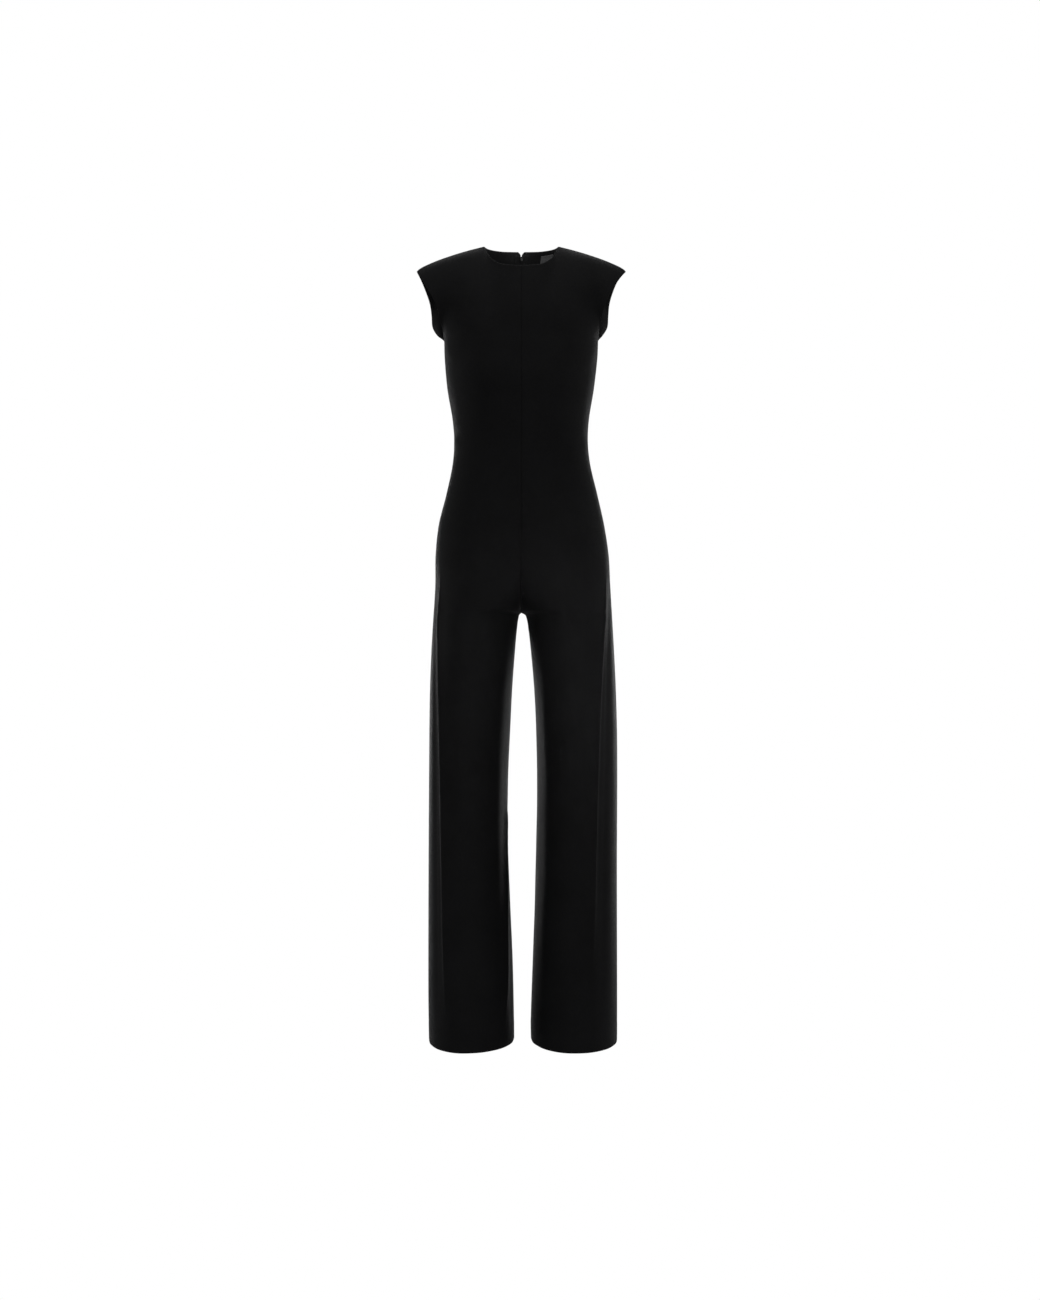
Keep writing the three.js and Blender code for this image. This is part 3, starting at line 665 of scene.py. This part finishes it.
def tubes_object(name, paths, radius, material, sides=5):
    """One object from many closed tubes."""
    points = []
    faces = []
    first = 0
    for path in paths:
        new_points, new_faces = tube_parts(path, radius, sides, first)
        points.append(new_points)
        faces += new_faces
        first += len(new_points)
    return mesh_object(name, np.vstack(points), faces, material)


def sample(line, distances):
    """Points, or directions, of a line of three columns at distances along its first three."""
    lengths = running_lengths(line[None, :, :3])[0]
    return np.stack([np.interp(distances, lengths, column) for column in line.T], axis=1)


# A stitch's course: the share along it, and thread radii off the cloth
STITCH_SHAPE = [(0, -0.9), (0.18, 0.5), (0.5, 0.8), (0.82, 0.5), (1, -0.9)]


def stitch_paths(line, normals, pitch, length, radius):
    """A row of stitches on a line that lies on the cloth, raised along the normals."""
    total = running_lengths(line[None])[0, -1]
    both = np.concatenate([line, normals], axis=1)
    paths = []
    for k in range(int((total - length) / pitch)):
        spots = sample(both, [pitch * (k + 0.5) + length * along for along, _ in STITCH_SHAPE])
        lifts = np.array([lift * radius for _, lift in STITCH_SHAPE])
        paths.append(spots[:, :3] + spots[:, 3:] * lifts[:, None])
    return paths


def down_from_top(form, distance, columns):
    """The line on a panel's inner face at a distance below its top edge, and its directions."""
    lines = form["inner"].transpose(1, 0, 2)[columns]
    return points_at(lines, distance), -form["normals"][STEADY, columns]


def up_from_hem(form, distance):
    """The same at a distance above its hem."""
    lines = form["inner"][::-1].transpose(1, 0, 2)
    return points_at(lines, distance), -form["normals"][-STEADY - 1]


def in_from_side(form, distance, rows):
    """The same at a distance in from its side or armhole."""
    lines = form["inner"][rows, ::-1]
    return points_at(lines, distance), -form["normals"][rows, -STEADY]


# Materials, and the scales of their patterns in waves a metre
SCALES = {
    "grain": 1150,
    "crimp": 700,
    "cloud": 14,
    "fuzz": 2600,
    "twist": 900,
    "wear": 900,
    "cast": 2200,
    "streak": 1200,
    "floor": 3,
}
UNEVEN = 0.07  # how far a cloth's roughness varies to either side


def new_material(name, **sockets):
    """A material with one principled shader, and its plain numbers and colours."""
    material = bpy.data.materials.new(name)
    material.use_nodes = True
    shader = material.node_tree.nodes["Principled BSDF"]
    for socket, value in sockets.items():
        shader.inputs[socket.replace("_", " ")].default_value = value
    return material, material.node_tree, shader


def add_node(tree, kind, **values):
    node = tree.nodes.new(kind)
    for name, value in values.items():
        if name in node.inputs:
            node.inputs[name].default_value = value
        else:
            setattr(node, name, value)
    return node


def noise(tree, vector, scale, detail=3.0, roughness=0.6):
    node = add_node(tree, "ShaderNodeTexNoise", Scale=scale, Detail=detail, Roughness=roughness)
    tree.links.new(vector, node.inputs["Vector"])
    return node.outputs["Fac"]


def stretched(tree, vector, scale):
    node = add_node(tree, "ShaderNodeMapping", Scale=scale)
    tree.links.new(vector, node.inputs["Vector"])
    return node.outputs["Vector"]


def ramp(tree, value, dark, light, low=0.3, high=0.7):
    node = add_node(tree, "ShaderNodeValToRGB")
    node.color_ramp.elements[0].position = low
    node.color_ramp.elements[0].color = (*dark, 1)
    node.color_ramp.elements[1].position = high
    node.color_ramp.elements[1].color = (*light, 1)
    tree.links.new(value, node.inputs["Fac"])
    return node.outputs["Color"]


def add_values(tree, a, b, share):
    """a plus a share of b."""
    node = add_node(tree, "ShaderNodeMath", operation="MULTIPLY_ADD")
    tree.links.new(b, node.inputs[0])
    node.inputs[1].default_value = share
    tree.links.new(a, node.inputs[2])
    return node.outputs[0]


def spread(tree, value, low, high):
    node = add_node(tree, "ShaderNodeMapRange")
    node.inputs["From Min"].default_value = 0.3
    node.inputs["From Max"].default_value = 0.7
    node.inputs["To Min"].default_value = low
    node.inputs["To Max"].default_value = high
    tree.links.new(value, node.inputs["Value"])
    return node.outputs["Result"]


def bump(tree, shader, height, strength, distance):
    node = add_node(tree, "ShaderNodeBump", Strength=strength, Distance=distance)
    tree.links.new(height, node.inputs["Height"])
    tree.links.new(node.outputs["Normal"], shader.inputs["Normal"])


def object_coordinates(tree):
    return add_node(tree, "ShaderNodeTexCoord").outputs["Object"]


def crepe(name, dark, light, roughness, grain_height, **sockets):
    """Black crepe: a fine pebbled grain of tightly twisted yarn, with a slight bloom."""
    material, tree, shader = new_material(
        name, Sheen_Weight=0.05, Sheen_Roughness=0.35, Sheen_Tint=(0.6, 0.6, 0.64, 1), **sockets
    )
    place = object_coordinates(tree)
    grain = noise(tree, place, SCALES["grain"], detail=2)
    crimp = noise(tree, stretched(tree, place, (1, 1, 0.45)), SCALES["crimp"], detail=2)
    cloud = noise(tree, place, SCALES["cloud"], detail=4)
    height = add_values(tree, grain, crimp, 0.8)
    tint = add_values(tree, cloud, grain, 0.35)
    tree.links.new(ramp(tree, tint, dark, light, 0.45, 0.9), shader.inputs["Base Color"])
    tree.links.new(spread(tree, crimp, roughness - UNEVEN, roughness + UNEVEN), shader.inputs["Roughness"])
    bump(tree, shader, height, strength=grain_height, distance=0.0005)
    return material


def woven(name, colours, scale, ribs, roughness, strength=0.5, **sockets):
    """A narrow weave with ribs across its length."""
    material, tree, shader = new_material(name, **sockets)
    place = object_coordinates(tree)
    rib = add_node(tree, "ShaderNodeTexWave", Scale=scale, Distortion=0.4, bands_direction=ribs)
    tree.links.new(place, rib.inputs["Vector"])
    cross = add_node(tree, "ShaderNodeTexWave", Scale=scale * 1.3, Distortion=0.5, bands_direction="X")
    tree.links.new(place, cross.inputs["Vector"])
    fuzz = noise(tree, place, SCALES["fuzz"], detail=2)
    height = add_values(tree, add_values(tree, rib.outputs["Fac"], cross.outputs["Fac"], 0.6), fuzz, 0.5)
    tree.links.new(ramp(tree, height, *colours, 0.3, 1), shader.inputs["Base Color"])
    tree.links.new(spread(tree, fuzz, roughness - 0.06, roughness + 0.08), shader.inputs["Roughness"])
    bump(tree, shader, height, strength=strength, distance=0.0002)
    return material


def thread(name, dark, light):
    material, tree, shader = new_material(name, Sheen_Weight=0.2, Sheen_Roughness=0.4)
    place = object_coordinates(tree)
    twist = add_node(tree, "ShaderNodeTexWave", Scale=SCALES["twist"], Distortion=1)
    twist.bands_direction = "DIAGONAL"
    tree.links.new(place, twist.inputs["Vector"])
    tree.links.new(ramp(tree, twist.outputs["Fac"], dark, light), shader.inputs["Base Color"])
    tree.links.new(spread(tree, twist.outputs["Fac"], 0.5, 0.65), shader.inputs["Roughness"])
    bump(tree, shader, twist.outputs["Fac"], strength=0.4, distance=0.0001)
    return material


def painted_metal():
    """Black enamel on zinc, worn a little lighter in places."""
    coat = {"Coat_Weight": 0.4, "Coat_Roughness": 0.2}
    material, tree, shader = new_material("black enamel", Metallic=0.35, **coat)
    place = object_coordinates(tree)
    wear = noise(tree, place, SCALES["wear"], detail=5)
    colour = ramp(tree, wear, (0.012, 0.012, 0.013), (0.035, 0.035, 0.037), 0.5, 0.8)
    tree.links.new(colour, shader.inputs["Base Color"])
    tree.links.new(spread(tree, wear, 0.28, 0.42), shader.inputs["Roughness"])
    bump(tree, shader, noise(tree, place, SCALES["cast"]), strength=0.12, distance=0.00005)
    return material


def nylon():
    material, tree, shader = new_material("black nylon", IOR=1.5)
    place = object_coordinates(tree)
    streak = noise(tree, place, SCALES["streak"])
    colour = ramp(tree, streak, (0.01, 0.01, 0.011), (0.018, 0.018, 0.019))
    tree.links.new(colour, shader.inputs["Base Color"])
    tree.links.new(spread(tree, streak, 0.3, 0.45), shader.inputs["Roughness"])
    bump(tree, shader, streak, strength=0.1, distance=0.00005)
    return material


CREPE = crepe(
    "black crepe", (0.0056, 0.0056, 0.006), (0.0086, 0.0086, 0.0092), 0.79, 0.6, Specular_IOR_Level=0.12
)
# The reverse is a smoother satin face, with lower roughness and more specular. Its base colour, lighter
# than the outer crepe's, is painted light for the brighter inside of the neck and armholes.
REVERSE_PAINTED_LIGHTER = crepe(
    "smooth reverse painted lighter", (0.015, 0.015, 0.0158), (0.021, 0.021, 0.022), 0.55, 0.2, Specular_IOR_Level=0.25
)
TAPE_WEAVE = woven(
    "zip tape weave", ((0.008, 0.008, 0.009), (0.02, 0.02, 0.021)), 480, "Z", 0.75, Sheen_Weight=0.1
)
LABEL_COLOURS = ((0.17, 0.17, 0.175), (0.26, 0.26, 0.266))
LABEL_WEAVE = woven("label satin", LABEL_COLOURS, 620, "Z", 0.42, strength=0.3, Sheen_Weight=0.3)
BLACK_THREAD = thread("black thread", (0.008, 0.008, 0.009), (0.02, 0.02, 0.022))
GREY_THREAD = thread("grey thread", (0.06, 0.06, 0.063), (0.11, 0.11, 0.115))
ENAMEL = painted_metal()
NYLON = nylon()


def dress(piece, slot, *nodes, body="garment"):
    """The piece's body, and the nodes that it stands for. The slot is not used."""
    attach(piece, body)
    if nodes:
        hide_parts(*nodes)
    return piece


# Cloth panels
FORMS = {panel: make_panel_form(*panel) for panel in PANELS}


def line_inside(piece, shape, material):
    """Gives the faces of a shell's inner grid a material of their own."""
    piece.data.materials.append(material)
    count = (shape[0] - 1) * (shape[1] - 1)
    numbers = np.zeros(len(piece.data.polygons), dtype=np.int32)
    numbers[count : 2 * count] = 1
    piece.data.polygons.foreach_set("material_index", numbers)


def make_panels():
    pieces = {}
    for face, side in PANELS:
        form = FORMS[face, side]
        flip = mirrored(face, side)
        piece = shell_object(f"cloth_{face}_{side}", form["outer"], form["inner"], flip, CREPE)
        # Inner faces get the smoother reverse, whose lighter base colour is painted light.
        line_inside(piece, form["outer"].shape, REVERSE_PAINTED_LIGHTER)
        dress(piece, "cloth", f"{face}_{side}")
        pieces[face, side] = piece
    return pieces


PANEL_PIECES = make_panels()


# Zip: a tape inside each edge of the centre back seam, with its coil and stitching
TAPE = {"width": 12, "thickness": 0.6, "from_seam": 0.4, "top": -1, "off": 0.12, "columns": 12}
TAPE_RIDGE = 0.25
TAPE_RIDGES = entries("share width", (0.9, 0.05), (0.42, 0.04))
TAPE_STITCH = {"pitch": 3.2, "length": 2.5}
COIL = {"pitch": 1.25, "radius": 0.28, "near": 0.12, "reach": 1.52, "depth": 0.72, "steps": 9, "top": -13.5}
THREAD = 0.16


def tape_rows(form):
    levels = form["inner"][:, 0, 2]
    return np.flatnonzero((levels < TAPE["top"]) & (levels > ZIP_END_Z))


def make_tape(side):
    form = FORMS["back", side]
    rows = tape_rows(form)
    distances = np.linspace(TAPE["from_seam"], TAPE["from_seam"] + TAPE["width"], TAPE["columns"] + 1)
    lines = form["inner"][rows] - form["normals"][rows] * TAPE["off"]
    near = np.stack([points_at(lines, distance) for distance in distances], axis=1)
    inward = -form["normals"][rows][:, [STEADY] * len(distances)]
    share = (distances - TAPE["from_seam"]) / TAPE["width"]
    bumps = [np.exp(-(((share - ridge["share"]) / ridge["width"]) ** 2)) for ridge in TAPE_RIDGES]
    far = near + inward * (TAPE["thickness"] + TAPE_RIDGE * sum(bumps))[None, :, None]
    tape = shell_object(f"zip_tape_weave_{side}", near, far, mirrored("back", side), TAPE_WEAVE)
    return dress(tape, "zip_tape", f"zip_tape_{side}"), far


def make_coil(side, shift):
    """The nylon coil along a tape's edge, shifted so that it meshes with its neighbour."""
    form = FORMS["back", side]
    rows = tape_rows(form)
    inner = form["inner"][rows, 0]
    normal = form["normals"][rows, STEADY - 1]
    line = np.concatenate([inner, normal], axis=1)
    line = line[inner[:, 2] < COIL["top"]]
    total = running_lengths(line[None, :, :3])[0, -1]
    turns = int(total / COIL["pitch"])
    turn = np.linspace(0, turns, turns * COIL["steps"] + 1)
    spine = sample(line, np.clip(turn * COIL["pitch"] + shift, 0, total))
    angle = 2 * math.pi * turn
    base = TAPE["off"] + TAPE["thickness"] + COIL["depth"] + COIL["radius"]
    path = spine[:, :3] - spine[:, 3:] * (base + COIL["depth"] * np.sin(angle))[:, None]
    path[:, 0] = SIDE_SIGN[side] * (COIL["near"] + COIL["reach"] * (1 + np.cos(angle)) / 2)
    coil = tubes_object(f"zip_coil_{side}", [path], COIL["radius"], NYLON, sides=4)
    return dress(coil, "zip_tape")


def make_zip():
    for side, shift in (("left", 0), ("right", COIL["pitch"] / 2)):
        tape, far = make_tape(side)
        coil = make_coil(side, shift)
        seam = far[:, TAPE["columns"] // 2]
        form = FORMS["back", side]
        inward = -form["normals"][tape_rows(form), STEADY]
        stitches = stitch_paths(seam, inward, TAPE_STITCH["pitch"], TAPE_STITCH["length"], THREAD)
        sewing = dress(tubes_object(f"zip_stitches_{side}", stitches, THREAD, BLACK_THREAD), "zip_tape")


make_zip()

# Label: a blank woven tag inside the neck, sewn down at its top and foot
LABEL = {"from_seam": 38, "width": 31, "top": 11, "length": 24, "off": 0.35, "bow": 0.35}
LABEL_CLOTH = {"thickness": 0.45, "folded": 0.3, "fold": 2.4, "slope": 0.5}
LABEL_GRID = {"rows": 20, "columns": 24}
LABEL_STITCH = {"pitch": 2.6, "length": 1.9}


def label_grids():
    """The label's near and far faces, bowed off the cloth, and the directions off it."""
    form = FORMS["back", "left"]
    distances = LABEL["from_seam"] + np.linspace(0, LABEL["width"], LABEL_GRID["columns"] + 1)
    upper = form["v"] < 1
    lines = form["inner"][upper]
    normals = form["normals"][upper]
    grid = np.stack([points_at(lines, distance) for distance in distances], axis=1)
    inward = -np.stack([values_at(lines, normals, distance) for distance in distances], axis=1)
    grid = grid.transpose(1, 0, 2)
    inward = inward.transpose(1, 0, 2)
    share_down = np.linspace(0, 1, LABEL_GRID["rows"] + 1)
    from_end = np.minimum(share_down, 1 - share_down) * LABEL["length"]
    downs = LABEL["top"] + share_down * LABEL["length"]
    near = np.stack([points_at(grid, down) for down in downs])
    facing = np.stack([values_at(grid, inward, down) for down in downs])
    lift = LABEL["off"] + LABEL["bow"] * np.sin(math.pi * share_down)
    fold, slope = LABEL_CLOTH["fold"], LABEL_CLOTH["slope"]
    folded = LABEL_CLOTH["folded"] * smoothstep(fold + slope, fold - slope, from_end)
    thick = LABEL_CLOTH["thickness"] + folded
    near = near + facing * lift[:, None, None]
    far = near + facing * thick[:, None, None]
    return near, far, facing


def make_label():
    near, far, facing = label_grids()
    label = shell_object("neck_label_satin", near, far, mirrored("back", "left"), LABEL_WEAVE)
    paths = []
    for row in (1, LABEL_GRID["rows"] - 1):
        paths += stitch_paths(far[row], facing[row], LABEL_STITCH["pitch"], LABEL_STITCH["length"], THREAD)
    sewing = dress(tubes_object("label_stitches", paths, THREAD, GREY_THREAD), "label")
    dress(label, "label", "neck_label")


make_label()

# Sewing that shows inside: turned neck and armholes, and the hem's catch stitches
EDGE_STITCH = {"from_edge": 7, "pitch": 4, "length": 2.6}
HEM_STITCH = {"low": 31, "high": 36.5, "pitch": 6.5, "from_seam": 3}


def hem_paths(form):
    """A zigzag that catches the hem's turned edge to the cloth above it."""
    low, inward = up_from_hem(form, HEM_STITCH["low"])
    high, _ = up_from_hem(form, HEM_STITCH["high"])
    total = running_lengths(low[None])[0, -1]
    both = np.concatenate([low, high, inward], axis=1)
    start = HEM_STITCH["from_seam"]
    spots = sample(both, np.arange(start, total - start, HEM_STITCH["pitch"] / 2))
    upper = np.arange(len(spots)) % 2 == 1
    path = np.where(upper[:, None], spots[:, 3:6], spots[:, :3]) + spots[:, 6:] * THREAD
    return [path]


def make_sewing():
    for face, side in PANELS:
        form = FORMS[face, side]
        neck_columns = np.flatnonzero(form["u"] < NECK_SHARE)
        bodice_rows = np.flatnonzero(form["v"] < 1)
        paths = []
        for line, inward in (
            down_from_top(form, EDGE_STITCH["from_edge"], neck_columns[STEADY:]),
            in_from_side(form, EDGE_STITCH["from_edge"], bodice_rows[STEADY:]),
        ):
            paths += stitch_paths(line, inward, EDGE_STITCH["pitch"], EDGE_STITCH["length"], THREAD)
        paths += hem_paths(form)
        sewing = dress(tubes_object(f"sewing_{face}_{side}", paths, THREAD, BLACK_THREAD), "cloth")


make_sewing()


# Slider and pull tab, from their solids, with the edges of a casting
CASTING = {"flat_angle": 1, "sharp_angle": 25, "merge": 1e-6}


def rounded_copy(node, name, width, segments, body, slot):
    """A copy of a solid with rounded edges, in its place."""
    source = bpy.data.objects[node]
    mesh = source.data.copy()
    mesh.materials.clear()
    mesh.materials.append(ENAMEL)
    form = bmesh.new()
    form.from_mesh(mesh)
    bmesh.ops.remove_doubles(form, verts=form.verts, dist=CASTING["merge"])
    flat = math.radians(CASTING["flat_angle"])
    bmesh.ops.dissolve_limit(form, angle_limit=flat, verts=form.verts, edges=form.edges)
    form.to_mesh(mesh)
    form.free()
    piece = bpy.data.objects.new(name, mesh)
    bpy.context.scene.collection.objects.link(piece)
    piece.matrix_world = source.matrix_world.copy()
    bevel = piece.modifiers.new("worn edges", "BEVEL")
    bevel.width = width * MM
    bevel.segments = segments
    bevel.limit_method = "ANGLE"
    bevel.angle_limit = math.radians(CASTING["sharp_angle"])
    bevel.harden_normals = True
    mesh.shade_smooth()
    return dress(piece, slot, node, body=body)


rounded_copy("zip_slider", "slider_casting", 0.22, 3, "garment", "zip_metal")
rounded_copy("zip_pull", "pull_casting", 0.25, 3, "pull_tab", "zip_metal")


# Stage, in metres: a pale floor, a white surround, soft lights and the camera
FLOOR = {"z": -1.53, "half": 30}
SURROUND = {"backdrop": 1.0, "light": 0.28}
CAMERA = {"place": (-0.0024, -2.8, -0.7516), "lens": 41.71, "sensor": 36}
WIDEST_SPREAD = 180  # degrees
LIGHTS = entries(
    "name place aim size power spread",
    ("left rim", (1.4, 2.6, -1.05), (0, 0, -0.9), (0.5, 1.7), 34, WIDEST_SPREAD),
    ("right rim", (-1.4, 2.6, -1.05), (0, 0, -0.9), (0.5, 1.7), 34, WIDEST_SPREAD),
    ("left side", (2.5, 1.3, -0.7), (0, 0, -0.75), (0.5, 2.2), 8, WIDEST_SPREAD),
    ("right side", (-2.5, 1.3, -0.7), (0, 0, -0.75), (0.5, 2.2), 8, WIDEST_SPREAD),
    ("top", (0, -0.3, 1.7), (0, 0, -0.3), (1.8, 0.8), 7, WIDEST_SPREAD),
    ("top rim", (0, 1.5, 1.3), (0, 0, -0.05), (1.6, 0.5), 10, WIDEST_SPREAD),
    ("front fill", (0.4, -3.6, -0.5), (0, 0, -0.8), (2.2, 2.2), 5, WIDEST_SPREAD),
    ("low front", (0.5, -2.7, -0.95), (0, 0, -0.8), (1, 0.4), 8, WIDEST_SPREAD),
    ("thighs", (0.5, -2.6, -0.7), (0.12, 0, -0.79), (0.3, 0.3), 0.11, 13),
)


def make_floor():
    material, tree, shader = new_material("pale floor", Roughness=0.9)
    place = object_coordinates(tree)
    shade = ramp(tree, noise(tree, place, SCALES["floor"]), (0.4, 0.4, 0.4), (0.44, 0.44, 0.44))
    tree.links.new(shade, shader.inputs["Base Color"])
    glow = add_node(tree, "ShaderNodeEmission", Color=(1, 1, 1, 1), Strength=SURROUND["backdrop"])
    seen = add_node(tree, "ShaderNodeLightPath")
    both = add_node(tree, "ShaderNodeMixShader")
    tree.links.new(seen.outputs["Is Camera Ray"], both.inputs["Fac"])
    tree.links.new(shader.outputs["BSDF"], both.inputs[1])
    tree.links.new(glow.outputs["Emission"], both.inputs[2])
    tree.links.new(both.outputs["Shader"], tree.nodes["Material Output"].inputs["Surface"])
    half = FLOOR["half"] / MM
    corners = [(x * half, y * half, FLOOR["z"] / MM) for x, y in ((-1, -1), (1, -1), (1, 1), (-1, 1))]
    mesh_object("floor", corners, [(0, 1, 2, 3)], material)


def make_surround():
    world = bpy.data.worlds.new("white surround")
    world.use_nodes = True
    tree = world.node_tree
    backdrop = tree.nodes["Background"]
    backdrop.inputs["Color"].default_value = (1, 1, 1, 1)
    backdrop.inputs["Strength"].default_value = SURROUND["backdrop"]
    lighting = add_node(tree, "ShaderNodeBackground", Color=(1, 1, 1, 1), Strength=SURROUND["light"])
    seen = add_node(tree, "ShaderNodeLightPath")
    both = add_node(tree, "ShaderNodeMixShader")
    tree.links.new(seen.outputs["Is Camera Ray"], both.inputs["Fac"])
    tree.links.new(lighting.outputs["Background"], both.inputs[1])
    tree.links.new(backdrop.outputs["Background"], both.inputs[2])
    tree.links.new(both.outputs["Shader"], tree.nodes["World Output"].inputs["Surface"])
    bpy.context.scene.world = world


def make_lights():
    for spec in LIGHTS:
        light = bpy.data.lights.new(spec["name"], "AREA")
        light.shape = "RECTANGLE"
        light.size, light.size_y = spec["size"]
        light.energy = spec["power"]
        light.spread = math.radians(spec["spread"])
        lamp = bpy.data.objects.new(spec["name"], light)
        lamp.location = spec["place"]
        aim = Vector(spec["aim"]) - Vector(spec["place"])
        lamp.rotation_euler = aim.to_track_quat("-Z", "Y").to_euler()
        bpy.context.scene.collection.objects.link(lamp)


def make_camera():
    data = bpy.data.cameras.new("camera")
    data.lens = CAMERA["lens"]
    data.sensor_width = CAMERA["sensor"]
    camera = bpy.data.objects.new("camera", data)
    camera.location = CAMERA["place"]
    camera.rotation_euler = (math.pi / 2, 0, 0)
    bpy.context.scene.collection.objects.link(camera)
    bpy.context.scene.camera = camera


make_floor()
make_surround()
make_lights()
make_camera()
bpy.context.scene.view_settings.view_transform = "Standard"
